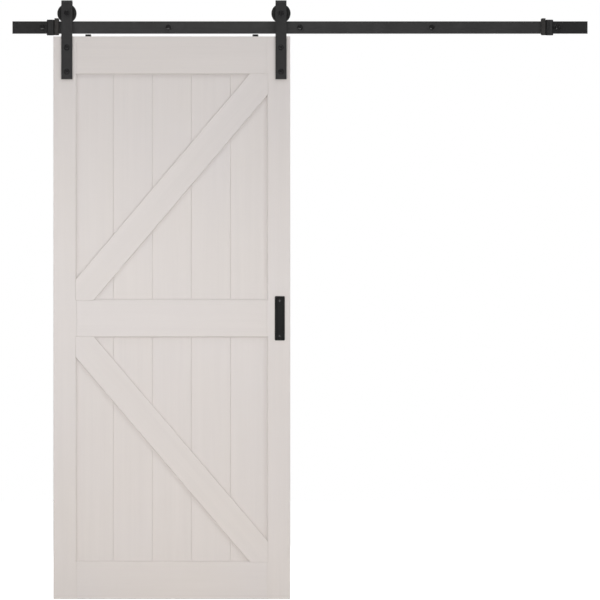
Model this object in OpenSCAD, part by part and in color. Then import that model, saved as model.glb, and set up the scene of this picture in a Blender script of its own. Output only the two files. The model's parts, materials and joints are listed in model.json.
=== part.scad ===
// Sliding barn door hung on a flat track rail.
// The origin is on the wall, behind the middle of the rail. X runs to the right along the rail,
// Y runs into the wall and Z runs up, so the door's front faces -Y. The door is at the left end
// of its travel. Sizes are in millimetres.

/* [Door] */
// Width of the door
door_w = 898; // [750:2:1200]
// Height of the door
door_h = 2134; // [1750:1:2600]
// Thickness of the door's frame boards
door_t = 35; // [30:1:42]
// Width of the two upright boards
stile_w = 88; // [70:1:120]
// Width of the three cross boards
cross_w = 144; // [100:0.5:180]
// Height of the middle cross board's centre above the door's foot
middle_height = 1065; // [800:1:1250]
// Planks side by side in each panel
planks_across = 5; // [3:1:7]
// Thickness of the planks
plank_t = 14; // [11:0.5:16]
// Depth of the planks' face behind the frame's face
plank_recess = 9; // [6:0.5:11]
// Depth that the planks' edges reach into the frame
plank_inset = 9; // [5:0.5:10]
// Spare depth left in the frame's grooves for the planks to swell
swell_gap = 1; // [0.5:0.1:1.5]
// Play between a plank or tenon and each side of its groove
groove_play = 0.2; // [0.1:0.05:0.4]
// Depth of the V cut into each plank's long edges
plank_vee = 1.25; // [1:0.25:3]
// Length of the tongue along each plank's edge
tongue_len = 6; // [4:0.5:8]
// Thickness of that tongue
tongue_t = 4.5; // [3:0.25:6]
// Width of the diagonal braces
brace_w = 104; // [70:1:130]
// Depth of the braces' face behind the frame's face
brace_step = 0.6; // [0.2:0.1:2]
// Gap between the ends of a brace and the frame
brace_gap = 0.3; // [0.1:0.1:1]
// Bevel of the frame around the panels
panel_bevel = 4.5; // [1:0.25:5.5]
// Chamfer along the door's outer edges and the braces' edges
edge_chamfer = 1.5; // [0.5:0.25:3]
// Chamfer along the seams between the frame's boards
seam_chamfer = 0.6; // [0.2:0.1:1]
// Width of the groove for a floor guide in the door's foot
guide_w = 8; // [6:0.5:12]
// Depth of that groove
guide_depth = 15; // [10:1:20]

/* [Flush pull] */
// Width of the pull's face plate
pull_w = 38; // [30:0.5:50]
// Height of the pull's face plate
pull_h = 168; // [120:0.5:200]
// Distance of the pull's middle from the door's edge
pull_inset = 39.5; // [35:0.5:50]
// Thickness of the pull's face plate
pull_plate_t = 2; // [1.5:0.25:3]
// Radius of the face plate's corners
pull_corner_r = 4; // [2.5:0.5:8]
// Width of the plate's rim around the finger recess
pull_rim = 5; // [4:0.5:7]
// Depth of the finger recess from the plate's face
pull_depth = 15; // [10:0.5:18]
// Thickness of the recess's walls and floor
pull_wall = 2; // [1:0.25:3]
// Room around the recess in its pocket in the door
pocket_gap = 0.4; // [0.2:0.1:1]
// Distance of each screw from the recess's end
pull_screw_inset = 12; // [9:0.5:20]

/* [Track] */
// Length of the rail
rail_len = 2182; // [1800:2:2800]
// Height of the rail's flat bar
rail_h = 47; // [38:1:60]
// Thickness of the rail's flat bar
rail_t = 6; // [5:0.5:8]
// Chamfer along the rail's edges
rail_chamfer = 0.8; // [0.3:0.1:1.5]
// Distance of the end screws from the rail's ends
end_screw_inset = 113; // [60:1:150]
// Distance between the middle screw and the screw on each side of it
screw_pitch = 500; // [300:5:700]
// Length of the tubes that hold the rail off the wall
spacer_len = 32; // [30:1:50]
// Outer diameter of those tubes
spacer_d = 22; // [18:0.5:24]
// Diameter of the wall screws' shank
lag_d = 10; // [8:0.5:12]
// Diameter of the wall screws' threaded end
lag_thread_d = 9.4; // [7:0.1:11]
// Depth that the wall screws reach into the wall
lag_reach = 50; // [40:1:80]
// Length of the wall screws' point
lag_point = 8; // [5:0.5:12]
// Size of the wall screws' hexagon across its flats
lag_head_af = 17; // [13:0.5:19]
// Height of the wall screws' heads
lag_head_h = 6.4; // [5:0.1:6.8]
// Diameter of the washers under them
lag_washer_d = 20; // [18:0.5:24]
// Thickness of those washers
washer_t = 2; // [1:0.25:2.25]
// Room around the wall screws in the rail and spacers
screw_room = 0.5; // [0.25:0.05:1]

/* [End stops] */
// Distance from an end screw's centre to the stop next to it
stop_from_screw = 17.25; // [12:0.25:20]
// Diameter of the stops' round clamps
clamp_d = 30; // [28:0.5:34]
// Depth of the flat cut on the clamps' inner side, behind the bumper
clamp_flat_depth = 0.5; // [0.5:0.25:6]
// Height of the clamps above and below the rail
clamp_wall = 6; // [5:0.25:7.5]
// Play between the clamps and each side of the rail
clamp_play = 0.15; // [0.05:0.05:0.3]
// Thickness of the rubber bumpers along the rail
bumper_t = 17.5; // [10:0.5:24]
// Depth of the bumpers from front to back
bumper_depth = 25; // [20:0.5:26]
// Chamfer around the bumpers' inner face
bumper_chamfer = 3; // [1:0.5:4]
// Height of the bumpers above the rail
bumper_above = 11.3; // [8:0.1:16]
// Height of the bumpers below the rail
bumper_below = 5.5; // [4:0.1:7.5]
// Diameter of the stops' set screws
set_screw_d = 6; // [5:0.5:7]
// Distance of the two set screws from the clamp's middle
set_screw_offset = 6.75; // [6:0.25:9]
// Gap between a wheel and its bumper at the end of the travel
stop_gap = 0.3; // [0.1:0.1:1]

/* [Hangers] */
// Mean distance of the hangers' middles from the door's edges
hanger_inset = 43; // [36:0.5:60]
// Distance of the hangers' midpoint to the right of the door's middle
hanger_shift = 8; // [-8:0.5:8]
// Width of the hanger straps
strap_w = 42; // [35:0.5:50]
// Thickness of the hanger straps
strap_t = 5; // [4:0.25:6]
// Height of the strap's top above the axle
strap_above = 49.5; // [46:0.5:60]
// Outer radius of the strap's bends
strap_bend_r = 12; // [9:0.5:14]
// Length of the strap's back leg below the axle
strap_back_drop = 20; // [15:0.5:24]
// Length of the strap on the door's face
strap_on_door = 162.5; // [140:0.5:260]
// Distance of the lower bolt from the strap's end
strap_bolt_inset = 28.5; // [20:0.5:45]
// Distance between a strap's two bolts
strap_bolt_pitch = 92; // [70:0.5:100]
// Diameter of those bolts
strap_bolt_d = 10; // [8:0.5:11]
// Diameter of their domed heads
strap_head_d = 19; // [16:0.5:21]
// Height of those heads
strap_head_h = 5.5; // [5:0.1:8]
// Size of the hexagon socket in those heads across its flats
strap_socket_af = 6; // [5:0.5:8]
// Depth of that socket
strap_socket_depth = 3; // [2:0.25:4]
// Diameter of the washers under them
strap_washer_d = 21.5; // [18:0.5:26]
// Diameter of the sleeve nuts that take the bolts
sleeve_d = 14; // [12.5:0.25:16]
// Length of the sleeve nuts in the door
sleeve_len = 22; // [15:0.5:26]
// Diameter of the sleeve nuts' flat heads
sleeve_head_d = 22; // [18:0.5:26]
// Thickness of the sleeve nuts' flat heads
sleeve_head_t = 2.5; // [1.5:0.25:3]
// Room around the bolts in the strap, the door and the nuts
bolt_room = 0.3; // [0.1:0.05:0.6]
// Gap between the rail's lower edge and the door's top
door_gap = 10.75; // [8.5:0.25:15]

/* [Wheels] */
// Radius at which the wheels roll on the rail's top edge
roll_r = 30; // [26:0.5:36]
// Gap between the wheels' tread and the rail
tread_gap = 0.3; // [0.2:0.05:0.5]
// Height of the wheels' flanges above their rolling radius
flange_h = 6.5; // [5:0.25:8]
// Width of the wheels
wheel_w = 20; // [18:0.5:24]
// Gap between the rail and each flange of a wheel
flange_gap = 0.5; // [0.3:0.05:1]
// Depth of the ring cut into each side of a wheel
web_depth = 2.5; // [1:0.25:3.5]
// Gap between a wheel and each leg of its hanger
wheel_side_gap = 3.5; // [3:0.25:5]
// Diameter of the axle bolts
axle_d = 12; // [10:0.5:12]
// Play around the axle bolts
axle_play = 0.05; // [0.02:0.01:0.1]
// Size of the axle bolts' hexagon across its flats
axle_head_af = 19; // [17:0.5:22]
// Height of the axle bolts' heads
axle_head_h = 7.5; // [6:0.1:8.5]
// Thickness of the axle nuts
axle_nut_h = 6; // [5:0.25:8]
// Wall of the sleeves on the axles between strap and bearing
axle_sleeve_wall = 2; // [1.5:0.25:2.5]
// Outer diameter of the ball bearings
bearing_d = 32; // [32:0.5:36]
// Width of the ball bearings
bearing_w = 10; // [9.5:0.25:12]
// Diameter of the bearings' balls
ball_d = 6; // [5:0.1:6]
// Balls in each bearing
ball_count = 7; // [6:1:7]
// Gap between the balls and what they run in
ball_gap = 0.1; // [0.05:0.05:0.15]

/* [Anti-jump discs] */
// Distance of each disc from the nearer upright board
disc_from_stile = 44; // [30:1:120]
// Diameter of the discs
disc_d = 22.5; // [16:0.5:24]
// Thickness of the discs
disc_t = 8; // [3:0.25:8.25]
// Diameter of the wood screws in the discs
disc_screw_d = 5; // [4:0.5:6]
// Length of those screws
disc_screw_len = 40; // [25:1:60]

/* [Hidden] */
$fn = 64;
// Facets of the larger turned shapes
turned_fn = 96;
// Extra length of a cutting shape past the face that it cuts
over = 1;

// Heights. The rail's middle is at 0.
rail_top = rail_h / 2;
axle_z = rail_top + roll_r;
door_top = -rail_h / 2 - door_gap;
strap_end = door_top - strap_on_door;
strap_bolt_z = [strap_end + strap_bolt_inset, strap_end + strap_bolt_inset + strap_bolt_pitch];

// Depths. The wall is at 0.
rail_back = -spacer_len;
rail_front = rail_back - rail_t;
rail_mid = rail_back - rail_t / 2;
strap_out = wheel_w / 2 + wheel_side_gap;
door_front = rail_mid - strap_out;
door_back = door_front + door_t;
strap_front = door_front - strap_t;

// Places along the rail
end_screw_x = rail_len / 2 - end_screw_inset;
screw_xs = [-end_screw_x, -screw_pitch, 0, screw_pitch, end_screw_x];
clamp_x = end_screw_x - stop_from_screw - clamp_d / 2;
clamp_flat = clamp_d / 2 - clamp_flat_depth;
bumper_x = clamp_x - clamp_flat - bumper_t;

// Where the wheels stop against the bumpers, at the lower or upper edge of the chamfer
flange_r = roll_r + flange_h;
bumper_top = rail_top + bumper_above;
function reach_at(z, behind_face) = sqrt(pow(flange_r, 2) - pow(axle_z - z, 2)) - behind_face;
stop_reach = stop_gap + max(reach_at(bumper_top - bumper_chamfer, 0),
                            reach_at(bumper_top, bumper_chamfer));
hanger_pitch = door_w - 2 * hanger_inset;
left_axle_x = -bumper_x + stop_reach;
right_axle_x = left_axle_x + hanger_pitch;
door_x = (left_axle_x + right_axle_x) / 2 - hanger_shift;

// Frame and panels, measured from the door's top at its middle
panel_w = door_w - 2 * stile_w;
groove_depth = plank_inset + swell_gap;
groove_front = plank_recess - groove_play;
groove_back = plank_recess + plank_t + groove_play;
middle_z = middle_height - door_h;
upper_panel = [middle_z + cross_w / 2, -cross_w];
lower_panel = [cross_w - door_h, middle_z - cross_w / 2];
plank_pitch = (panel_w + 2 * plank_inset) / planks_across;
// Depth of the rail's middle plane behind the door's face
rail_plane = strap_out;

// Hanger parts
// Length of an axle bolt's end past its nut
axle_past_nut = 1;
// End of the axle bolts behind the rail's middle plane
axle_end = strap_out + strap_t + axle_nut_h + axle_past_nut;
axle_sleeve_len = strap_out - bearing_w / 2;
// Distance from a strap bolt's end to the back of the door
strap_bolt_short = 6.5;
strap_bolt_end = door_back - strap_bolt_short;

// Bearings
pitch_r = (axle_d + bearing_d) / 4;
race_r = ball_d / 2 + ball_gap;
shoulder_gap = 1.85;
inner_ring_r = pitch_r - shoulder_gap;
outer_ring_r = pitch_r + shoulder_gap;
shield_t = 0.4;
shield_depth = 0.8;
shield_seat = 0.55;
shield_play = 0.1;
shield_to_inner_ring = 0.3;
seat_play = 0.02;
cage_t = 1.4;
cage_w = 7;

// Wheels
// Thickness of the rim under the tread, and of the hub around the bearing
rim_t = 2.5;
hub_t = 4;
// Height of the lip behind the bearing
seat_lip = 1.8;

// Flush pull, level with the middle cross board
pull_x = door_x + door_w / 2 - pull_inset;
pull_z = door_top + middle_z;
recess_w = pull_w - 2 * pull_rim;
recess_h = pull_h - 2 * pull_rim;
cup_w = recess_w + 2 * pull_wall;
cup_h = recess_h + 2 * pull_wall;
cup_back = pull_depth + pull_wall - pull_plate_t;
// Radius of the recess's corners, outside and inside its walls
recess_corner_r = 3;
recess_inner_r = 2;
pull_screw_d = 4;
pull_screw_len = 12;
pull_screw_z = recess_h / 2 - pull_screw_inset;

door_color = "#dcd7d2";
plank_color = "#d6d1cc";
iron_color = "#3c3b3a";
zinc_color = "#9a9c9f";
steel_color = "#b5b7ba";
rubber_color = "#4a4948";
nylon_color = "#1f1f1f";

function plank_names(panel) = [for (i = [1:planks_across]) str(panel, "_plank_", i)];
function both(name) = [str("left_", name), str("right_", name)];

// ---------- shared shapes ----------

// A cylinder along Y from y0 to y1
module rod(d, y0, y1) {
    translate([0, y0, 0]) rotate([-90, 0, 0]) cylinder(d = d, h = y1 - y0);
}

// A tube along Y from y0 to y1
module tube(outer_d, inner_d, y0, y1) {
    difference() {
        rod(outer_d, y0, y1);
        rod(inner_d, y0 - over, y1 + over);
    }
}

// A ring turned around Y, from an outline of [radius, y] points
module turned(outline) {
    rotate([-90, 0, 0]) rotate_extrude($fn = turned_fn) polygon([for (p = outline) [p[0], p[1]]]);
}

// A cutter for a 45 degree chamfer of size c along Z, on the edge where X and Y are both 0
module chamfer_cut(c, length) {
    translate([0, 0, -over]) linear_extrude(length + 2 * over)
        polygon([[-over, -over], [c + over, -over], [-over, c + over]]);
}

// A hexagon along Y that ends at y1, with its outer corners turned off at y0
module hex_head(af, y0, y1) {
    face_r = 0.485 * af;
    corner_r = af / 2 / cos(30);
    bevel = (corner_r - af / 2) * tan(30);
    intersection() {
        translate([0, y0, 0]) rotate([-90, 30, 0]) cylinder(r = corner_r, h = y1 - y0, $fn = 6);
        turned([[0, y0], [face_r, y0], [corner_r + over, y0 + bevel + over * tan(30)],
                [corner_r + over, y1 + over], [0, y1 + over]]);
    }
}

// A domed head along Y that ends at y1, with a hexagon socket in its top
module domed_head(d, h, socket_af, socket_depth, y1) {
    rim_h = 1;
    socket_r = socket_af / 2 / cos(30);
    top_r = socket_r + 0.8;
    dome = [for (a = [90:-15:0])
            [top_r + (d / 2 - top_r) * cos(a), y1 - rim_h - (h - rim_h) * sin(a)]];
    difference() {
        turned(concat([[0, y1 - h]], dome, [[d / 2, y1], [0, y1]]));
        translate([0, y1 - h - over, 0]) rotate([-90, 0, 0])
            cylinder(r = socket_r, h = socket_depth + over, $fn = 6);
    }
}

// A cross-shaped driver recess cut back from the face at y0
module cross_recess(size, y0, depth) {
    slot = size / 5;
    for (a = [0, 90])
        translate([0, y0, 0]) rotate([0, a, 0])
            translate([-size / 2, -over, -slot / 2]) cube([size, depth + over, slot]);
}

// A countersunk screw along Y with its face at y0
module sunk_screw(d, length, y0) {
    difference() {
        union() {
            turned([[0, y0], [d, y0], [d / 2, y0 + d / 2], [0, y0 + d / 2]]);
            rod(d, y0 + d / 2, y0 + length - d);
            turned([[0, y0 + length - d], [d / 2, y0 + length - d], [0, y0 + length]]);
        }
        cross_recess(d, y0, d / 3);
    }
}

// The hole that such a screw needs, with a gap around the screw
module sunk_hole(d, y0, y1, gap) {
    turned([[0, y0 - over], [d + gap + over, y0 - over], [d / 2 + gap, y0 + d / 2],
            [d / 2 + gap, y1], [0, y1]]);
}

// A block from front y0 to back y1 with upright edges of radius r at its four corners
module round_plate(w, h, r, y0, y1) {
    for (sx = [-1, 1], sz = [-1, 1])
        translate([sx * (w / 2 - r), 0, sz * (h / 2 - r)]) rod(2 * r, y0, y1);
    translate([-w / 2 + r, y0, -h / 2]) cube([w - 2 * r, y1 - y0, h]);
    translate([-w / 2, y0, -h / 2 + r]) cube([w, y1 - y0, h - 2 * r]);
}

// The children mirrored to the rail's other end
module at_end(side) {
    if (side < 0) mirror([1, 0, 0]) children();
    else children();
}

function axle_x(side) = side < 0 ? left_axle_x : right_axle_x;

// The children placed on one of the two axles
module on_axle(side) {
    translate([axle_x(side), rail_mid, axle_z]) children();
}

// The children placed at the door's top, in the middle of its width, on its front face
module on_door() {
    translate([door_x, door_front, door_top]) children();
}

// ---------- track ----------

module track_rail() {
    c = rail_chamfer;
    t = rail_t / 2;
    h = rail_h / 2;
    color(iron_color) difference() {
        translate([-rail_len / 2, rail_mid, 0]) rotate([90, 0, 90]) linear_extrude(rail_len)
            polygon([[-t + c, -h], [t - c, -h], [t, -h + c], [t, h - c],
                     [t - c, h], [-t + c, h], [-t, h - c], [-t, -h + c]]);
        for (x = screw_xs)
            translate([x, 0, 0]) rod(lag_d + 2 * screw_room, rail_front - over, rail_back + over);
    }
}

module spacer(i) {
    color(iron_color) translate([screw_xs[i - 1], 0, 0])
        tube(spacer_d, lag_d + 2 * screw_room, rail_back, 0);
}

module lag_screws() {
    seat = rail_front - washer_t;
    color(iron_color) for (x = screw_xs) translate([x, 0, 0]) {
        hex_head(lag_head_af, seat - lag_head_h, seat);
        rod(lag_d, seat - lag_head_h / 2, 0);
        turned([[0, -over], [lag_thread_d / 2, -over], [lag_thread_d / 2, lag_reach - lag_point],
                [0, lag_reach]]);
    }
}

module lag_washers() {
    color(iron_color) for (x = screw_xs) translate([x, 0, 0])
        tube(lag_washer_d, lag_d + 2 * screw_room, rail_front - washer_t, rail_front);
}

// The slot that lets a stop slide onto the rail, cut right through along X
module rail_slot() {
    translate([-rail_len / 2, rail_front - clamp_play, -rail_top - clamp_play])
        cube([rail_len, rail_t + 2 * clamp_play, rail_h + 2 * clamp_play]);
}

module stop_clamp(side) {
    r = clamp_d / 2;
    top = rail_top + clamp_wall;
    c = edge_chamfer;
    color(iron_color) at_end(side) difference() {
        translate([clamp_x, rail_mid, 0]) intersection() {
            rotate_extrude($fn = turned_fn)
                polygon([[0, -top], [r - c, -top], [r, c - top], [r, top - c], [r - c, top], [0, top]]);
            translate([-clamp_flat, -clamp_d, -top - over])
                cube([clamp_flat + clamp_d, 2 * clamp_d, 2 * top + 2 * over]);
        }
        rail_slot();
        for (s = [-1, 1])
            translate([clamp_x + s * set_screw_offset, rail_mid, rail_top])
                cylinder(d = set_screw_d + 2 * axle_play, h = clamp_wall + over);
    }
}

module stop_screws() {
    below_top = 0.3;
    socket_af = set_screw_d / 2;
    color(iron_color) for (side = [-1, 1]) at_end(side) for (s = [-1, 1])
        translate([clamp_x + s * set_screw_offset, rail_mid, rail_top]) difference() {
            cylinder(d = set_screw_d, h = clamp_wall - below_top);
            translate([0, 0, clamp_wall / 2])
                cylinder(r = socket_af / 2 / cos(30), h = clamp_wall, $fn = 6);
        }
}

// A bumper's outline from the side, chamfered at its inner face and reaching from z0 to z1
function bumper_outline(z0, z1) =
    [[0, z0 + bumper_chamfer], [bumper_chamfer, z0], [bumper_t, z0],
     [bumper_t, z1], [bumper_chamfer, z1], [0, z1 - bumper_chamfer]];

module bumper(side) {
    d = bumper_depth / 2;
    low = -rail_top - bumper_below;
    color(rubber_color) at_end(side) difference() {
        translate([bumper_x, rail_mid, 0]) intersection() {
            translate([0, 0, low - over]) linear_extrude(bumper_top - low + 2 * over)
                polygon(bumper_outline(-d, d));
            translate([0, d + over, 0]) rotate([90, 0, 0]) linear_extrude(2 * d + 2 * over)
                polygon(bumper_outline(low, bumper_top));
        }
        rail_slot();
    }
}

// ---------- door frame ----------

// An upright board, drawn for the right side with its inner edge at X = 0
module stile_board() {
    w = stile_w;
    t = door_t;
    c = edge_chamfer;
    s = seam_chamfer;
    translate([0, 0, -door_h]) linear_extrude(door_h)
        polygon([[s, 0], [w - c, 0], [w, c], [w, t - c], [w - c, t], [s, t],
                 [0, t - s], [0, groove_back], [groove_depth, groove_back],
                 [groove_depth, groove_front], [0, groove_front], [0, s]]);
}

// A block around a panel's middle. Its outline of [growth, depth] points gives how far it
// reaches past the panel's opening on all four sides, at each depth behind the door's face
module panel_block(panel, outline) {
    half_w = panel_w / 2;
    half_h = (panel[1] - panel[0]) / 2;
    reach = panel_bevel + 2 * over;
    back = [for (i = [len(outline) - 1:-1:0]) outline[i]];
    translate([0, 0, (panel[0] + panel[1]) / 2]) intersection() {
        translate([0, 0, -half_h - reach]) linear_extrude(2 * half_h + 2 * reach)
            polygon(concat([for (p = outline) [half_w + p[0], p[1]]],
                           [for (p = back) [-half_w - p[0], p[1]]]));
        translate([-half_w - reach, 0, 0]) rotate([90, 0, 90]) linear_extrude(2 * half_w + 2 * reach)
            polygon(concat([for (p = outline) [p[1], half_h + p[0]]],
                           [for (p = back) [p[1], -half_h - p[0]]]));
    }
}

// The cutters for the bevels around both panels, on the door's front and back
module panel_bevels() {
    cut = [[panel_bevel + over, -over], [-over, panel_bevel + over]];
    for (panel = [upper_panel, lower_panel]) {
        panel_block(panel, cut);
        translate([0, door_t, 0]) mirror([0, 1, 0]) panel_block(panel, cut);
    }
}

// The groove for a floor guide along the door's foot
module guide_groove() {
    translate([-door_w / 2 - over, (door_t - guide_w) / 2, -door_h - over])
        cube([door_w + 2 * over, guide_w, guide_depth + over]);
}

// The stepped holes for one hanger's two bolts and their sleeve nuts
module strap_bolt_holes(side) {
    for (z = strap_bolt_z) translate([side * hanger_pitch / 2 + hanger_shift, 0, z - door_top]) {
        rod(strap_bolt_d + 2 * bolt_room, -over, door_t + over);
        rod(sleeve_d + 2 * bolt_room, door_t - sleeve_len - bolt_room, door_t + over);
    }
}

module pull_pocket() {
    gap = pocket_gap;
    translate([door_w / 2 - pull_inset, 0, middle_z]) {
        round_plate(cup_w + 2 * gap, cup_h + 2 * gap, recess_corner_r + gap, -over, cup_back + gap);
        for (s = [-1, 1]) translate([0, 0, s * pull_screw_z])
            rod(pull_screw_d + 2 * axle_play, cup_back, cup_back + pull_screw_len);
    }
}

module stile(side) {
    color(door_color) on_door() difference() {
        at_end(side) translate([panel_w / 2, 0, 0]) stile_board();
        panel_bevels();
        guide_groove();
        strap_bolt_holes(side);
        if (side > 0) pull_pocket();
    }
}

// A cross board between heights z0 and z0 + cross_w, grooved where a panel meets it
module cross_board(z0, above, below) {
    t = door_t;
    w = cross_w;
    c = edge_chamfer;
    g = groove_depth;
    low_edge = below
        ? [[0, 0], [groove_front, 0], [groove_front, g], [groove_back, g], [groove_back, 0], [t, 0]]
        : [[0, c], [c, 0], [t - c, 0], [t, c]];
    high_edge = above
        ? [[t, w], [groove_back, w], [groove_back, w - g],
           [groove_front, w - g], [groove_front, w], [0, w]]
        : [[t, w - c], [t - c, w], [c, w], [0, w - c]];
    tenon_low = z0 + (below ? g : 0);
    tenon_high = z0 + w - (above ? g : 0);
    difference() {
        translate([-panel_w / 2, 0, z0]) rotate([90, 0, 90]) linear_extrude(panel_w)
            polygon(concat(low_edge, high_edge));
        panel_bevels();
        for (side = [-1, 1]) at_end(side) translate([panel_w / 2, 0, z0]) {
            mirror([1, 0, 0]) chamfer_cut(seam_chamfer, w);
            translate([0, t, 0]) mirror([0, 1, 0]) mirror([1, 0, 0]) chamfer_cut(seam_chamfer, w);
        }
    }
    for (side = [-1, 1]) at_end(side)
        translate([panel_w / 2 - over, plank_recess, tenon_low])
            cube([plank_inset + over, plank_t, tenon_high - tenon_low]);
}

module top_rail() {
    color(door_color) on_door() difference() {
        cross_board(-cross_w, false, true);
        for (side = [-1, 1]) disc_place(side)
            cylinder(d = disc_screw_d + 2 * axle_play, h = 2 * disc_screw_len, center = true);
    }
}

module middle_rail() {
    color(door_color) on_door() cross_board(middle_z - cross_w / 2, true, true);
}

module bottom_rail() {
    color(door_color) on_door() difference() {
        cross_board(-door_h, true, false);
        guide_groove();
    }
}

// A plank of a panel, counted from the left. Its tongue fits the groove of the plank on its right
module plank(panel, i) {
    w = plank_pitch;
    t = plank_t;
    x0 = -panel_w / 2 - plank_inset + (i - 1) * w;
    first = i == 1;
    last = i == planks_across;
    v = plank_vee;
    t0 = (t - tongue_t) / 2;
    t1 = (t + tongue_t) / 2;
    g = tongue_len + swell_gap / 2;
    left_edge = first
        ? [[0, t], [0, 0]]
        : [[v, t], [0, t - v], [0, t1 + groove_play], [g, t1 + groove_play],
           [g, t0 - groove_play], [0, t0 - groove_play], [0, v], [v, 0]];
    right_edge = last
        ? [[w, 0], [w, t]]
        : [[w - v, 0], [w, v], [w, t0], [w + tongue_len, t0],
           [w + tongue_len, t1], [w, t1], [w, t - v], [w - v, t]];
    color(plank_color) on_door()
        translate([x0, plank_recess, panel[0] - plank_inset])
            linear_extrude(panel[1] - panel[0] + 2 * plank_inset)
                polygon(concat(left_edge, right_edge));
}

// A brace from corner to corner of a panel. Its ends are cut to the opening and its bevel
module brace(panel, rising) {
    h = panel[1] - panel[0];
    c = edge_chamfer;
    w = brace_w / 2;
    angle = (rising ? 1 : -1) * atan2(h, panel_w);
    length = sqrt(h * h + panel_w * panel_w) + 2 * brace_w;
    bevel = panel_bevel - brace_gap;
    room = [[bevel + over, -over], [-brace_gap, panel_bevel], [-brace_gap, door_t]];
    color(door_color) on_door() intersection() {
        translate([0, 0, (panel[0] + panel[1]) / 2]) rotate([0, -angle, 0])
            translate([-length / 2, 0, 0]) rotate([90, 0, 90]) linear_extrude(length)
                polygon([[brace_step, c - w], [brace_step + c, -w], [plank_recess, -w],
                         [plank_recess, w], [brace_step + c, w], [brace_step, w - c]]);
        panel_block(panel, room);
    }
}

// ---------- hangers ----------

// One bend of the strap, around X, with its corner at the front when front is true
module strap_bend(front) {
    r = strap_bend_r;
    s = front ? -1 : 1;
    y = s * (strap_out + strap_t - r);
    translate([-strap_w / 2, y, strap_above - r]) difference() {
        intersection() {
            rotate([0, 90, 0]) cylinder(r = r, h = strap_w);
            translate([0, front ? -r : 0, 0]) cube([strap_w, r, r]);
        }
        translate([-over, 0, 0]) rotate([0, 90, 0]) cylinder(r = r - strap_t, h = strap_w + 2 * over);
    }
}

module hanger(side) {
    w = strap_w;
    out = strap_out + strap_t;
    end = strap_end - axle_z;
    straight_top = strap_above - strap_bend_r;
    color(iron_color) on_axle(side) difference() {
        union() {
            translate([-w / 2, -out, end]) cube([w, strap_t, straight_top - end]);
            strap_bend(true);
            translate([-w / 2, strap_bend_r - out, strap_above - strap_t])
                cube([w, 2 * (out - strap_bend_r), strap_t]);
            strap_bend(false);
            translate([-w / 2, strap_out, -strap_back_drop])
                cube([w, strap_t, straight_top + strap_back_drop]);
        }
        rod(axle_d + 2 * axle_play, -out - over, out + over);
        for (z = strap_bolt_z) translate([0, 0, z - axle_z])
            rod(strap_bolt_d + 2 * bolt_room, -out - over, 0);
    }
}

module axle_bolt(side) {
    head = -strap_out - strap_t;
    color(iron_color) on_axle(side) {
        hex_head(axle_head_af, head - axle_head_h, head);
        rod(axle_d, head - axle_head_h / 2, axle_end);
    }
}

module axle_nuts() {
    seat = strap_out + strap_t;
    color(zinc_color) for (side = [-1, 1]) on_axle(side) difference() {
        mirror([0, 1, 0]) hex_head(axle_head_af, -seat - axle_nut_h, -seat);
        rod(axle_d + 2 * axle_play, seat - over, seat + axle_nut_h + over);
    }
}

// Two sleeves on each axle, between the strap's legs and the bearing's inner ring
module axle_sleeves() {
    inner_d = axle_d + 2 * axle_play;
    color(zinc_color) for (side = [-1, 1], s = [-1, 1]) on_axle(side)
        translate([0, s * (strap_out - axle_sleeve_len / 2), 0])
            tube(inner_d + 2 * axle_sleeve_wall, inner_d, -axle_sleeve_len / 2, axle_sleeve_len / 2);
}

// The children placed at each of the four strap bolts, with Y = 0 on the wall
module at_strap_bolts() {
    for (side = [-1, 1], z = strap_bolt_z) translate([axle_x(side), 0, z]) children();
}

module strap_bolts() {
    seat = strap_front - washer_t;
    color(iron_color) at_strap_bolts() {
        domed_head(strap_head_d, strap_head_h, strap_socket_af, strap_socket_depth, seat);
        rod(strap_bolt_d, seat - (strap_head_h - strap_socket_depth) / 2, strap_bolt_end);
    }
}

module strap_washers() {
    color(iron_color) at_strap_bolts()
        tube(strap_washer_d, strap_bolt_d + 2 * bolt_room, strap_front - washer_t, strap_front);
}

// Nuts with a long barrel in the door and a flat head on its back
module sleeve_nuts() {
    socket_af = 6;
    socket_depth = sleeve_head_t + 1;
    past_bolt = 0.5;
    color(zinc_color) at_strap_bolts() difference() {
        union() {
            rod(sleeve_d, door_back - sleeve_len, door_back);
            rod(sleeve_head_d, door_back, door_back + sleeve_head_t);
        }
        rod(strap_bolt_d + 2 * axle_play, door_back - sleeve_len - over, strap_bolt_end + past_bolt);
        translate([0, door_back + sleeve_head_t - socket_depth, 0]) rotate([-90, 0, 0])
            cylinder(r = socket_af / 2 / cos(30), h = socket_depth + over, $fn = 6);
    }
}

// ---------- anti-jump discs ----------

// The children placed under the rail on the door's top edge, with Z = 0 on that edge
module disc_place(side) {
    translate([side * (panel_w / 2 - disc_from_stile), rail_plane, 0]) children();
}

module jump_disc(side) {
    color(nylon_color) on_door() disc_place(side) difference() {
        cylinder(d = disc_d, h = disc_t);
        rotate([-90, 0, 0]) sunk_hole(disc_screw_d, -disc_t, over, axle_play);
    }
}

module disc_screws() {
    color(zinc_color) on_door() for (side = [-1, 1]) disc_place(side)
        rotate([-90, 0, 0]) sunk_screw(disc_screw_d, disc_screw_len, -disc_t);
}

// ---------- flush pull ----------

// The children placed at the middle of the pull, with Y = 0 on the door's face
module on_pull() {
    translate([pull_x, door_front, pull_z]) children();
}

module flush_pull() {
    floor_y = pull_depth - pull_plate_t;
    color(iron_color) on_pull() difference() {
        union() {
            round_plate(pull_w, pull_h, pull_corner_r, -pull_plate_t, 0);
            round_plate(cup_w, cup_h, recess_corner_r, 0, cup_back);
        }
        round_plate(recess_w, recess_h, recess_inner_r, -pull_plate_t - over, floor_y);
        for (s = [-1, 1]) translate([0, 0, s * pull_screw_z])
            sunk_hole(pull_screw_d, floor_y, cup_back + over, axle_play);
    }
}

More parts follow.
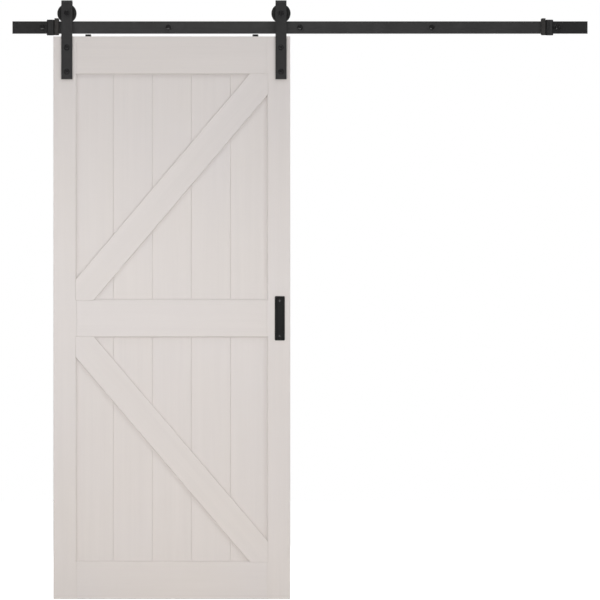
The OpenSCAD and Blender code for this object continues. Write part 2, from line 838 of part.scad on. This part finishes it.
module pull_screws() {
    floor_y = pull_depth - pull_plate_t;
    color(iron_color) on_pull() for (s = [-1, 1]) translate([0, 0, s * pull_screw_z])
        sunk_screw(pull_screw_d, pull_screw_len, floor_y);
}

// ---------- wheels and bearings ----------

module wheel(side) {
    half = wheel_w / 2;
    tread_r = roll_r - tread_gap;
    slot = rail_t / 2 + flange_gap;
    flare = 1;
    tip = 1.2;
    corner = 0.8;
    rim_r = tread_r - rim_t;
    hub_r = bearing_d / 2 + hub_t;
    seat_r = bearing_d / 2 + seat_play;
    lip_r = bearing_d / 2 - seat_lip;
    b = bearing_w / 2;
    web = half - web_depth;
    slope = 1;
    color(iron_color) on_axle(side) turned([
        [seat_r, b], [seat_r, -half], [hub_r, -half], [hub_r + slope, -web],
        [rim_r - slope, -web], [rim_r, -half], [flange_r - tip, -half], [flange_r, tip - half],
        [flange_r, -slot - flare - corner], [flange_r - corner, -slot - flare],
        [tread_r, -slot], [tread_r, slot], [flange_r - corner, slot + flare],
        [flange_r, slot + flare + corner], [flange_r, half - tip], [flange_r - tip, half],
        [rim_r, half], [rim_r - slope, web], [hub_r + slope, web], [hub_r, half],
        [lip_r, half], [lip_r, b]]);
}

// The ring-shaped path of the balls, wide enough for them to run in
module ball_race() {
    rotate([-90, 0, 0]) rotate_extrude($fn = turned_fn) translate([pitch_r, 0]) circle(r = race_r);
}

module inner_ring(side) {
    b = bearing_w / 2;
    color(steel_color) on_axle(side) difference() {
        tube(2 * inner_ring_r, axle_d + 2 * axle_play, -b, b);
        ball_race();
    }
}

module outer_ring(side) {
    b = bearing_w / 2;
    color(steel_color) on_axle(side) difference() {
        tube(bearing_d, 2 * outer_ring_r, -b, b);
        ball_race();
        for (s = [-1, 1])
            rod(2 * (outer_ring_r + shield_seat), s * b - (s > 0 ? shield_depth : over),
                s * b + (s > 0 ? over : shield_depth));
    }
}

module shields(side) {
    outer_d = 2 * (outer_ring_r + shield_seat - shield_play);
    inner_d = 2 * (inner_ring_r + shield_to_inner_ring);
    near = bearing_w / 2 - shield_depth;
    color(steel_color) on_axle(side) {
        tube(outer_d, inner_d, near, near + shield_t);
        tube(outer_d, inner_d, -near - shield_t, -near);
    }
}

// The children placed at each ball of a bearing
module at_balls() {
    for (i = [0:ball_count - 1]) rotate([0, i * 360 / ball_count, 0])
        translate([pitch_r, 0, 0]) children();
}

module balls(side) {
    color(steel_color) on_axle(side) at_balls() sphere(d = ball_d);
}

module ball_cage(side) {
    color(steel_color) on_axle(side) difference() {
        tube(2 * pitch_r + cage_t, 2 * pitch_r - cage_t, -cage_w / 2, cage_w / 2);
        at_balls() rotate([0, 90, 0]) cylinder(r = race_r, h = 2 * cage_t, center = true);
    }
}

// ---------- drawing ----------

track_rail();
for (i = [1:len(screw_xs)])
    spacer(i);
lag_screws();
lag_washers();
stop_screws();
stop_clamp(-1);  // left_stop_clamp
stop_clamp(1);  // right_stop_clamp
bumper(-1);  // left_bumper
bumper(1);  // right_bumper
stile(-1);  // left_stile
stile(1);  // right_stile
top_rail();
middle_rail();
bottom_rail();
brace(upper_panel, true);  // upper_brace
brace(lower_panel, false);  // lower_brace
for (i = [1:planks_across]) {
    plank(upper_panel, i);
    plank(lower_panel, i);
}
hanger(-1);  // left_hanger
hanger(1);  // right_hanger
axle_bolt(-1);  // left_axle_bolt
axle_bolt(1);  // right_axle_bolt
axle_nuts();
axle_sleeves();
strap_bolts();
strap_washers();
sleeve_nuts();
jump_disc(-1);  // left_jump_disc
jump_disc(1);  // right_jump_disc
disc_screws();
flush_pull();
pull_screws();
inner_ring(-1);  // left_inner_ring
inner_ring(1);  // right_inner_ring
wheel(-1);  // left_wheel
wheel(1);  // right_wheel
outer_ring(-1);  // left_outer_ring
outer_ring(1);  // right_outer_ring
ball_cage(-1);  // left_ball_cage
ball_cage(1);  // right_ball_cage
balls(-1);  // left_balls
balls(1);  // right_balls
shields(-1);  // left_shields
shields(1);  // right_shields
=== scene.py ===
"""Looks of the sliding barn door: finishes, softened edges, threads, floor, lights and camera.

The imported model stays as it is. Its nodes get materials and rounded edges, and the plain wall
screws give way to threaded ones. Everything is in metres, in the model's frame: X along the
rail, +Y into the wall, Z up.
"""

import json
import math

import bmesh
import bpy
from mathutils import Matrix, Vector


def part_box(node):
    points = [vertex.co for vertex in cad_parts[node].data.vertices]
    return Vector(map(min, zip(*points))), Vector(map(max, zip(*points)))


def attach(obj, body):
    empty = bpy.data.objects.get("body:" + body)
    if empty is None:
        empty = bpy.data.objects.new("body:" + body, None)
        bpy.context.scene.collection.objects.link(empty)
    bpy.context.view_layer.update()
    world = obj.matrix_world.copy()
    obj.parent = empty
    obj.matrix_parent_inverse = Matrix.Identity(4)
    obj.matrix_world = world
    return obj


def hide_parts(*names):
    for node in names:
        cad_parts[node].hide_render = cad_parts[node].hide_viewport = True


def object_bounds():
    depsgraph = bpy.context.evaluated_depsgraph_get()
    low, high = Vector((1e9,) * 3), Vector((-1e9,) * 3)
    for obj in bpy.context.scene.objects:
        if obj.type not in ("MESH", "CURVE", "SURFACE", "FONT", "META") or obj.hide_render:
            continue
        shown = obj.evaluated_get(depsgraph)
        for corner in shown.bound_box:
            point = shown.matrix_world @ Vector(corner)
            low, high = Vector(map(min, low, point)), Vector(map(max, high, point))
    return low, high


MM = 0.001

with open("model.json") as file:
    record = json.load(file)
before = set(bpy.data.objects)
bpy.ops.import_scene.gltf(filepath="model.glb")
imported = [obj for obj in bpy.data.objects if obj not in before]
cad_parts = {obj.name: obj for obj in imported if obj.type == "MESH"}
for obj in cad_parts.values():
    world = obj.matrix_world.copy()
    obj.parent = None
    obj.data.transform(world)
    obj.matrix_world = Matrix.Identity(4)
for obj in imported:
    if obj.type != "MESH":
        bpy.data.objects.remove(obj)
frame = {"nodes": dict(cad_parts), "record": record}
cad_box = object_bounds()
nodes = frame["nodes"]


# ---------- camera ----------

SENSOR = 0.036
CAMERA_AWAY = 24.0
VIEW_WIDTH_AT_RAIL = 2.2765
CAMERA_BELOW_RAIL = 1.0338


def add_camera():
    """A level camera straight in front of the object, at the photograph's viewing angle."""
    data = bpy.data.cameras.new("camera")
    data.sensor_width = SENSOR / MM
    data.lens = data.sensor_width * CAMERA_AWAY / VIEW_WIDTH_AT_RAIL
    camera = bpy.data.objects.new("camera", data)
    bpy.context.scene.collection.objects.link(camera)
    rail_low, rail_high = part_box("track_rail")
    rail_middle = (rail_low + rail_high) / 2
    camera.location = rail_middle - Vector((0, CAMERA_AWAY, CAMERA_BELOW_RAIL))
    camera.rotation_euler = (math.radians(90), 0, 0)
    bpy.context.scene.camera = camera


# ---------- node tree helpers ----------

CREVICE_SAMPLES = 8


class Finish:
    """A material under construction, with short calls for the nodes that it needs."""

    def __init__(self, name, roughness, metallic=0.0, specular=0.5):
        self.material = bpy.data.materials.new(name)
        self.material.use_nodes = True
        self.tree = self.material.node_tree
        self.shader = next(n for n in self.tree.nodes if n.type == "BSDF_PRINCIPLED")
        self.shader.inputs["Roughness"].default_value = roughness
        self.shader.inputs["Metallic"].default_value = metallic
        self.shader.inputs["Specular IOR Level"].default_value = specular

    def node(self, kind, **values):
        """A new node with its settings."""
        made = self.tree.nodes.new(kind)
        for name, value in values.items():
            setattr(made, name, value)
        return made

    def link(self, output, target):
        self.tree.links.new(output, target)

    def place(self, scale=(1, 1, 1), shift=(0, 0, 0), turn=(0, 0, 0)):
        """The object's own coordinates, turned and shifted, then stretched."""
        coordinates = self.node("ShaderNodeTexCoord")
        turned = self.node("ShaderNodeMapping")
        turned.inputs["Rotation"].default_value = turn
        turned.inputs["Location"].default_value = shift
        stretched = self.node("ShaderNodeMapping")
        stretched.inputs["Scale"].default_value = scale
        self.link(coordinates.outputs["Object"], turned.inputs["Vector"])
        self.link(turned.outputs["Vector"], stretched.inputs["Vector"])
        return stretched.outputs["Vector"]

    def from_middle(self):
        """Distance along X from the middle of the rail."""
        coordinates = self.node("ShaderNodeTexCoord")
        parts = self.node("ShaderNodeSeparateXYZ")
        size = self.node("ShaderNodeMath", operation="ABSOLUTE")
        self.link(coordinates.outputs["Object"], parts.inputs["Vector"])
        self.link(parts.outputs["X"], size.inputs[0])
        return size.outputs[0]

    def noise(self, where, scale, detail=3.0, roughness=0.5):
        """A noise value, mostly between 0.3 and 0.7."""
        made = self.node("ShaderNodeTexNoise")
        made.inputs["Scale"].default_value = scale
        made.inputs["Detail"].default_value = detail
        made.inputs["Roughness"].default_value = roughness
        self.link(where, made.inputs["Vector"])
        return made.outputs["Fac"]

    def crevice(self, reach):
        """1 in the open, falling towards 0 in corners and grooves narrower than reach."""
        made = self.node("ShaderNodeAmbientOcclusion", samples=CREVICE_SAMPLES)
        made.inputs["Distance"].default_value = reach
        return made.outputs["AO"]

    def spread(self, value, low, high, from_low=0.3, from_high=0.7):
        """A value from from_low to from_high mapped to the range low to high."""
        made = self.node("ShaderNodeMapRange")
        made.inputs["From Min"].default_value = from_low
        made.inputs["From Max"].default_value = from_high
        made.inputs["To Min"].default_value = low
        made.inputs["To Max"].default_value = high
        self.link(value, made.inputs["Value"])
        return made.outputs["Result"]

    def multiply(self, first, second):
        made = self.node("ShaderNodeMath", operation="MULTIPLY")
        self.link(first, made.inputs[0])
        self.link(second, made.inputs[1])
        return made.outputs[0]

    def mixed(self, share, first, second):
        """Two colours mixed by a share. Each is a tuple or a node's output."""
        made = self.node("ShaderNodeMix", data_type="RGBA")
        self.link(share, made.inputs["Factor"])
        for socket, colour in ((made.inputs[6], first), (made.inputs[7], second)):
            if isinstance(colour, tuple):
                socket.default_value = (*colour, 1)
            else:
                self.link(colour, socket)
        return made.outputs[2]

    def clouded(self, noise, first, second):
        """A colour that drifts between two with a noise value."""
        return self.mixed(self.spread(noise, 0, 1), first, second)

    def scaled(self, colour, factor):
        """A colour made lighter or darker by a factor that varies over the surface."""
        made = self.node("ShaderNodeVectorMath", operation="SCALE")
        self.link(colour, made.inputs[0])
        self.link(factor, made.inputs["Scale"])
        return made.outputs[0]

    def colour(self, output):
        self.link(output, self.shader.inputs["Base Color"])

    def rough(self, output):
        self.link(output, self.shader.inputs["Roughness"])

    def relief(self, *layers):
        """Bumps on one another. A layer is (height output, depth in metres)."""
        normal = None
        for height, depth in layers:
            bump = self.node("ShaderNodeBump")
            bump.inputs["Strength"].default_value = 1.0
            bump.inputs["Distance"].default_value = depth
            self.link(height, bump.inputs["Height"])
            if normal is not None:
                self.link(normal, bump.inputs["Normal"])
            normal = bump.outputs["Normal"]
        self.link(normal, self.shader.inputs["Normal"])


# ---------- finishes ----------

PAINT = (0.72, 0.677, 0.663)
PAINT_WARM = (0.724, 0.677, 0.652)
# A brown painted shade that darkens corners and grooves, at its full share where they are most closed.
PAINT_CORNER_SHADE = (0.36, 0.31, 0.255)
CORNER_SHADE_FULLEST = 0.15

# How finely the noise is drawn across a board, through it and along its grain.
FIGURE = (34, 34, 1.1)
PORES = (210, 210, 5)
BRUSH_MARKS = (620, 620, 9)
BOARD_SHIFT = (1.37, 0.71, 2.13)

COAT_BASE = (1.0, 0.985, 1.0)
COAT_LIGHT = (1.28, 1.26, 1.28)
COAT_SWING = 0.06
RAIL_TONE = 0.031
# The painted shade on the rail's ends, as a share of the coating's colour.
RAIL_END_SHADE = 0.45


def painted_wood(name, lean, seed, dust):
    """Satin off-white paint brushed on a board. lean is the grain's angle from upright.

    dust is the reach and the share of the painted shade in corners, and the openness where it ends.
    """
    made = Finish(name, roughness=0.42)
    shift = tuple(seed * step for step in BOARD_SHIFT)
    turn = (0, -lean, 0)
    figure = made.noise(made.place(FIGURE, shift, turn), scale=1, detail=5, roughness=0.55)
    pores = made.noise(made.place(PORES, shift, turn), scale=1, detail=4, roughness=0.6)
    brush = made.noise(made.place(BRUSH_MARKS, shift, turn), scale=1, detail=2)
    cloud = made.noise(made.place(shift=shift), scale=2.3)
    film = made.noise(made.place(shift=shift), scale=520, detail=2)
    tone = made.clouded(cloud, PAINT, PAINT_WARM)
    streaks = made.multiply(made.spread(figure, 0.985, 1.015), made.spread(pores, 0.992, 1.008))
    tone = made.scaled(tone, streaks)
    # Painted shade: corners and grooves darken towards a brown by their ambient occlusion.
    reach, share, end = dust
    dusty = made.spread(made.crevice(reach), share, 0, from_low=CORNER_SHADE_FULLEST, from_high=end)
    made.colour(made.mixed(dusty, tone, PAINT_CORNER_SHADE))
    made.rough(made.spread(brush, 0.37, 0.47))
    made.relief((figure, 0.10 * MM), (pores, 0.06 * MM), (brush, 0.03 * MM), (film, 0.012 * MM))
    return made


def powder_coat(name, tone, roughness=0.5, specular=0.3):
    """Black powder coating, with its fine orange peel, its grit and its faint cloudiness."""
    made = Finish(name, roughness, specular=specular)
    peel = made.noise(made.place(), scale=900, detail=2, roughness=0.45)
    grit = made.noise(made.place(), scale=3200, detail=2, roughness=0.6)
    cloud = made.noise(made.place(), scale=14)
    base = tuple(tone * share for share in COAT_BASE)
    light = tuple(tone * share for share in COAT_LIGHT)
    tint = made.clouded(cloud, base, light)
    made.colour(made.scaled(tint, made.spread(grit, 0.88, 1.14)))
    made.rough(made.spread(peel, roughness - COAT_SWING, roughness + COAT_SWING))
    made.relief((peel, 0.05 * MM), (grit, 0.012 * MM))
    return made


def rail_coat(name):
    """The rail's coating, with a painted shade that darkens its two ends beyond the stops."""
    made = powder_coat(name, RAIL_TONE)
    stop_low, stop_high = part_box("right_stop_clamp")
    # Painted shade: the colour darkens across the stop's width and stays darker out to the rail's ends.
    share = made.spread(made.from_middle(), 1, RAIL_END_SHADE, stop_low.x, stop_high.x)
    plain = made.shader.inputs["Base Color"].links[0].from_socket
    made.colour(made.scaled(plain, share))
    return made


def black_oxide(name):
    """Blackened steel of the bolts and screws: darker and glossier than the coating."""
    made = Finish(name, roughness=0.2, metallic=0.2, specular=0.4)
    cloud = made.noise(made.place(), scale=60, detail=4, roughness=0.6)
    grit = made.noise(made.place(), scale=2600, detail=2, roughness=0.6)
    tint = made.clouded(cloud, (0.009, 0.009, 0.010), (0.019, 0.018, 0.018))
    made.colour(made.scaled(tint, made.spread(grit, 0.85, 1.15)))
    made.rough(made.spread(cloud, 0.15, 0.27))
    made.relief((grit, 0.006 * MM))
    return made


def zinc_plate(name):
    """Bright zinc plating with its faint bluish and yellowish patches."""
    made = Finish(name, roughness=0.3, metallic=1.0)
    cloud = made.noise(made.place(), scale=55, detail=4, roughness=0.6)
    brushed = made.noise(made.place((900, 900, 60)), scale=1, detail=2, roughness=0.6)
    made.colour(made.clouded(cloud, (0.56, 0.58, 0.61), (0.66, 0.64, 0.58)))
    made.rough(made.spread(brushed, 0.24, 0.4))
    made.relief((brushed, 0.01 * MM))
    return made


def bearing_steel(name):
    """Ground bearing steel."""
    made = Finish(name, roughness=0.18, metallic=1.0)
    ground = made.noise(made.place((1400, 120, 1400)), scale=1, roughness=0.6)
    cloud = made.noise(made.place(), scale=40)
    made.colour(made.clouded(cloud, (0.57, 0.58, 0.60), (0.66, 0.66, 0.66)))
    made.rough(made.spread(ground, 0.13, 0.27))
    made.relief((ground, 0.006 * MM))
    return made


def rubber(name):
    """Moulded dark grey rubber with a dry, faintly dusty skin."""
    made = Finish(name, roughness=0.78, specular=0.3)
    skin = made.noise(made.place(), scale=700, roughness=0.6)
    dust = made.noise(made.place((90, 90, 240)), scale=1, detail=4, roughness=0.65)
    made.colour(made.clouded(dust, (0.026, 0.025, 0.024), (0.052, 0.048, 0.046)))
    made.rough(made.spread(dust, 0.7, 0.88))
    made.relief((skin, 0.09 * MM), (dust, 0.05 * MM))
    return made


def nylon(name):
    """Moulded black nylon."""
    made = Finish(name, roughness=0.4, specular=0.25)
    skin = made.noise(made.place(), scale=1100, roughness=0.55)
    cloud = made.noise(made.place(), scale=90)
    made.colour(made.clouded(cloud, (0.004, 0.004, 0.004), (0.008, 0.008, 0.008)))
    made.rough(made.spread(skin, 0.34, 0.48))
    made.relief((skin, 0.02 * MM))
    return made


# ---------- CAD nodes ----------

SHARP_ANGLE = math.radians(24)
FLAT_ANGLE = math.radians(0.5)
SEAM_REACH = 0.002 * MM
CLEAN_REACH = 0.004 * MM
EDGE_SEGMENTS = 2

BOARD_EDGE = 0.9 * MM
PLANK_EDGE = 0.6 * MM
STRAP_EDGE = 0.8 * MM
HARDWARE_EDGE = 0.5 * MM
RUBBER_EDGE = 1.2 * MM
SMALL_EDGE = 0.25 * MM
SHIELD_EDGE = 0.06 * MM

# Painted shade in the corners of each kind of board, as painted_wood takes it.
CORNER_SHADE = {
    "stile": (9 * MM, 0.42, 0.95),
    "brace": (4 * MM, 0.24, 0.7),
    "rail": (4 * MM, 0.08, 0.6),
    "plank": (4 * MM, 0.16, 0.6),
}


def paint(node, finish):
    """Gives a CAD node one material."""
    slots = nodes[node].data.materials
    slots.clear()
    slots.append(finish.material)


def weld(piece, name, reach):
    """Merges points closer than reach, which also drops faces with no area."""
    joined = piece.modifiers.new(name, "WELD")
    joined.merge_threshold = reach


def round_edges(piece, angle, width):
    """Rounds the edges that bend by more than angle."""
    edges = piece.modifiers.new("edges", "BEVEL")
    edges.limit_method = "ANGLE"
    edges.angle_limit = angle
    edges.width = width
    edges.segments = EDGE_SEGMENTS


def join_seams(node):
    """Smooth shading over a CAD node, with the points that its faces share made one."""
    piece = nodes[node]
    normals = piece.data.attributes.get("custom_normal")
    if normals:
        piece.data.attributes.remove(normals)
    piece.data.shade_smooth()
    weld(piece, "joined", SEAM_REACH)


def soften(node, width):
    """Rounds the sharp edges of a CAD node with modifiers, which leave its mesh as it is."""
    piece = nodes[node]
    join_seams(node)
    flat = piece.modifiers.new("flat", "DECIMATE")
    flat.decimate_type = "DISSOLVE"
    flat.angle_limit = FLAT_ANGLE
    round_edges(piece, SHARP_ANGLE, width)
    weld(piece, "cleaned", CLEAN_REACH)
    shading = piece.modifiers.new("shading", "WEIGHTED_NORMAL")
    shading.keep_sharp = False
    triangles = piece.modifiers.new("triangles", "TRIANGULATE")
    triangles.ngon_method = "BEAUTY"
    triangles.keep_custom_normals = True


def grain_lean(node):
    """The grain's angle from upright: across for the rails, along for the braces."""
    low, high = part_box(node)
    size = high - low
    if node.endswith("brace"):
        rising = 1 if node.startswith("upper") else -1
        return rising * math.atan2(size.x, size.z)
    return math.radians(90) if size.x > size.z else 0.0


def finish_boards():
    """Painted wood on the door's boards, each with its own piece of the grain."""
    boards = [n for n in sorted(nodes) if n.endswith(("stile", "_rail", "brace")) and n != "track_rail"]
    planks = [n for n in sorted(nodes) if "_plank_" in n]
    for seed, node in enumerate(boards + planks, 1):
        # Each kind of board gets its own share of painted shade in its corners.
        dust = next(CORNER_SHADE[kind] for kind in CORNER_SHADE if kind in node)
        paint(node, painted_wood("paint_" + node, grain_lean(node), seed, dust))
        soften(node, PLANK_EDGE if node in planks else BOARD_EDGE)


def finish_hardware():
    """Coatings, rubber and nylon, by a word in the node's name."""
    finishes = {
        "track_rail": (rail_coat("coat_rail"), HARDWARE_EDGE),
        "hanger": (powder_coat("coat_hanger", 0.023), STRAP_EDGE),
        "stop_clamp": (powder_coat("coat_stop", 0.017), HARDWARE_EDGE),
        "spacer": (powder_coat("coat_spacer", 0.022), HARDWARE_EDGE),
        "flush_pull": (powder_coat("coat_pull", 0.006, roughness=0.42, specular=0.15), HARDWARE_EDGE),
        "wheel": (powder_coat("coat_wheel", 0.012, roughness=0.42), HARDWARE_EDGE),
        "bumper": (rubber("rubber"), RUBBER_EDGE),
        "jump_disc": (nylon("nylon"), HARDWARE_EDGE),
    }
    for kind, (finish, edge) in finishes.items():
        for node in sorted(n for n in nodes if kind in n):
            paint(node, finish)
            soften(node, edge)


def finish_small_parts(oxide):
    """Black oxide, zinc and bearing steel on the fasteners and the bearings."""
    dark = ["lag_washers", "stop_screws", "strap_bolts", "strap_washers", "pull_screws",
            "left_axle_bolt", "right_axle_bolt"]
    bright = ["axle_nuts", "axle_sleeves", "sleeve_nuts", "disc_screws"]
    races = [n for n in sorted(nodes) if n.endswith(("_ring", "_cage", "_balls", "_shields"))]
    zinc = zinc_plate("zinc")
    steel = bearing_steel("bearing_steel")
    for group, finish in ((dark, oxide), (bright, zinc), (races, steel)):
        for node in group:
            paint(node, finish)
            if node.endswith("balls"):
                join_seams(node)
            else:
                soften(node, SHIELD_EDGE if node.endswith("shields") else SMALL_EDGE)


# ---------- wall screws ----------

RING_POINTS = 48
HEAD_ACROSS_FLATS = 17 * MM
HEAD_FACE_SHARE = 0.485
HEAD_CHAMFER = math.radians(30)
HEAD_SHARP_ANGLE = math.radians(55)
HEAD_EDGE = 0.3 * MM
SCREW_POINT = 8 * MM
TIP = 0.3 * MM
THREAD_PITCH = 4.4 * MM
THREAD_CREST = 5.0 * MM
THREAD_ROOT = 3.9 * MM
RINGS_A_TURN = 12

# The ridge's half width at its foot and the width of its slope, as shares of the pitch.
RIDGE_HALF = 0.32
RIDGE_SLOPE = 0.24


def hexagon_reach(angle):
    """Distance from the head's middle to its outline, with corners at the top and bottom."""
    sixth = math.radians(60)
    return HEAD_ACROSS_FLATS / 2 / math.cos((angle + sixth / 2) % sixth - sixth / 2)


def thread_reach(angle, y, length):
    """Radius of a wood thread that fades in at y = 0 and tapers to a point at y = length."""
    turn = (y / THREAD_PITCH - angle / math.tau) % 1
    ridge = min(1, max(0, (RIDGE_HALF - abs(turn - 0.5)) / RIDGE_SLOPE))
    taper = min(1, (length - y) / SCREW_POINT)
    start = min(1, y / THREAD_PITCH)
    root = THREAD_CREST + (THREAD_ROOT - THREAD_CREST) * start
    reach = root + (THREAD_CREST - root) * ridge
    return TIP + (reach - TIP) * taper


def screw_rings(front, seat, length):
    """The rings of points of a wall screw, from its head's face to its point, as (x, y, z)."""
    face = HEAD_FACE_SHARE * HEAD_ACROSS_FLATS
    rise = math.tan(HEAD_CHAMFER)
    angles = [math.tau * i / RING_POINTS for i in range(RING_POINTS)]
    flats = [hexagon_reach(a) for a in angles]
    rings = [[(face, front)] * RING_POINTS]
    rings.append([(r, front + (r - face) * rise) for r in flats])
    rings.append([(r, seat) for r in flats])
    rings.append([(THREAD_CREST, seat)] * RING_POINTS)
    count = math.ceil(length / THREAD_PITCH * RINGS_A_TURN)
    for step in range(count + 1):
        y = length * step / count
        rings.append([(thread_reach(a, y, length), y) for a in angles])
    return [[(r * math.cos(a), y, r * math.sin(a)) for a, (r, y) in zip(angles, ring)] for ring in rings]


def ringed_mesh(name, rings, first, last):
    """A closed mesh from rings of points, with a point on its axis at each end."""
    count = len(rings[0])
    points = [first, last] + [point for ring in rings for point in ring]
    faces = []
    for i in range(count):
        j = (i + 1) % count
        faces.append((0, 2 + i, 2 + j))
        for k in range(len(rings) - 1):
            near = 2 + k * count
            far = near + count
            faces.append((near + i, far + i, far + j, near + j))
        end = 2 + (len(rings) - 1) * count
        faces.append((1, end + j, end + i))
    mesh = bpy.data.meshes.new(name)
    mesh.from_pydata(points, [], faces)
    mesh.shade_smooth()
    return mesh


def add_wall_screws(finish):
    """Hexagon head wood screws with a cut thread, in place of the plain CAD ones."""
    head_low, screw_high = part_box("lag_screws")
    washer_low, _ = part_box("lag_washers")
    front = head_low.y
    length = screw_high.y
    rings = screw_rings(front, washer_low.y, length)
    mesh = ringed_mesh("wall_screw", rings, (0, front, 0), (0, length + TIP / 2, 0))
    mesh.materials.append(finish.material)
    for mount in frame["record"]["mounts"]:
        if mount["name"].startswith("wall_screw_"):
            screw = bpy.data.objects.new(mount["name"], mesh)
            bpy.context.scene.collection.objects.link(screw)
            screw.location = (mount["pos_m"][0], 0, mount["pos_m"][2])
            round_edges(screw, HEAD_SHARP_ANGLE, HEAD_EDGE)
            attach(screw, "track")
            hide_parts("lag_screws")


# ---------- stage and light ----------

FLOOR_GAP = 12 * MM
FLOOR_HALF = 12.0
FLOOR_GREY = (0.86, 0.86, 0.86)
FLOOR_PALE = (0.88, 0.88, 0.88)
FLOOR_GLOW = 0.76

WORLD_LIGHT = 0.30
WORLD_SEEN = 1.0

DOOR_MIDDLE = (-0.48, -0.05, -0.95)
WHITE = (1, 1, 1)
WARM = (1, 0.92, 0.82)

# Each is its name, place, aim, width, height, watts, spread in degrees, and colour.
SOFTBOXES = (
    ("key", (4.0, -2.7, 0.9), DOOR_MIDDLE, 1.6, 1.6, 51, 180, WHITE),
    ("front", (-0.9, -2.9, -0.9), (-0.6, -0.05, -0.9), 3.0, 0.6, 8.2, 90, WHITE),
    ("top", (-0.48, -1.1, 1.9), (-0.48, -0.05, -1.2), 2.4, 0.4, 17, 180, WHITE),
    ("left", (-3.2, -1.7, -0.2), (-0.9, -0.05, -0.5), 0.8, 1.4, 12, 180, WHITE),
    ("low", (-0.48, -1.4, -2.0), (-0.48, -0.05, -2.15), 1.6, 0.3, 3.2, 180, WARM),
    ("back", (1.2, 4.2, 0.6), DOOR_MIDDLE, 2.5, 2.5, 100, 180, WHITE),
)


def choose_for_camera(tree, others, seen, surface):
    """Shows the camera the shader seen, and every other ray the shader others."""
    rays = tree.nodes.new("ShaderNodeLightPath")
    choice = tree.nodes.new("ShaderNodeMixShader")
    tree.links.new(rays.outputs["Is Camera Ray"], choice.inputs["Fac"])
    tree.links.new(others, choice.inputs[1])
    tree.links.new(seen, choice.inputs[2])
    tree.links.new(choice.outputs["Shader"], surface)


def glow_for_camera(made):
    """Lifts the floor to white for the camera alone, so that it lights nothing."""
    plain = made.shader.outputs["BSDF"]
    glow = made.node("ShaderNodeEmission")
    glow.inputs["Strength"].default_value = FLOOR_GLOW
    both = made.node("ShaderNodeAddShader")
    made.link(plain, both.inputs[0])
    made.link(glow.outputs["Emission"], both.inputs[1])
    output = next(n for n in made.tree.nodes if n.type == "OUTPUT_MATERIAL")
    choose_for_camera(made.tree, plain, both.outputs["Shader"], output.inputs["Surface"])


def add_floor():
    """A plain white studio floor, just under the door."""
    mesh = bpy.data.meshes.new("floor")
    shape = bmesh.new()
    bmesh.ops.create_grid(shape, x_segments=1, y_segments=1, size=FLOOR_HALF)
    shape.to_mesh(mesh)
    shape.free()
    floor = bpy.data.objects.new("floor", mesh)
    floor.location = (0, 0, cad_box[0].z - FLOOR_GAP)
    bpy.context.scene.collection.objects.link(floor)
    made = Finish("floor", roughness=0.6)
    cloud = made.noise(made.place(), scale=1.5, detail=2)
    made.colour(made.clouded(cloud, FLOOR_GREY, FLOOR_PALE))
    glow_for_camera(made)
    mesh.materials.append(made.material)


def add_world():
    """Even light from all round, seen by the camera as a white studio."""
    world = bpy.data.worlds.new("studio")
    bpy.context.scene.world = world
    world.use_nodes = True
    tree = world.node_tree
    lit = next(n for n in tree.nodes if n.type == "BACKGROUND")
    lit.inputs["Color"].default_value = (1, 1, 1, 1)
    lit.inputs["Strength"].default_value = WORLD_LIGHT
    seen = tree.nodes.new("ShaderNodeBackground")
    seen.inputs["Color"].default_value = (1, 1, 1, 1)
    seen.inputs["Strength"].default_value = WORLD_SEEN
    output = next(n for n in tree.nodes if n.type == "OUTPUT_WORLD")
    choose_for_camera(tree, lit.outputs["Background"], seen.outputs["Background"], output.inputs["Surface"])


def add_softbox(name, place, aim, width, height, watts, spread, colour):
    """A rectangular area light at a place, turned to the point aim."""
    data = bpy.data.lights.new(name, "AREA")
    data.shape = "RECTANGLE"
    data.size = width
    data.size_y = height
    data.energy = watts
    data.color = colour
    data.spread = math.radians(spread)
    light = bpy.data.objects.new(name, data)
    bpy.context.scene.collection.objects.link(light)
    light.location = place
    direction = Vector(aim) - Vector(place)
    light.rotation_euler = direction.to_track_quat("-Z", "Y").to_euler()
    light.visible_camera = False


# ---------- all together ----------

add_camera()
finish_boards()
finish_hardware()
oxide = black_oxide("black_oxide")
finish_small_parts(oxide)
add_wall_screws(oxide)
add_floor()
add_world()
for softbox in SOFTBOXES:
    add_softbox(*softbox)
bpy.context.scene.view_settings.view_transform = "Standard"
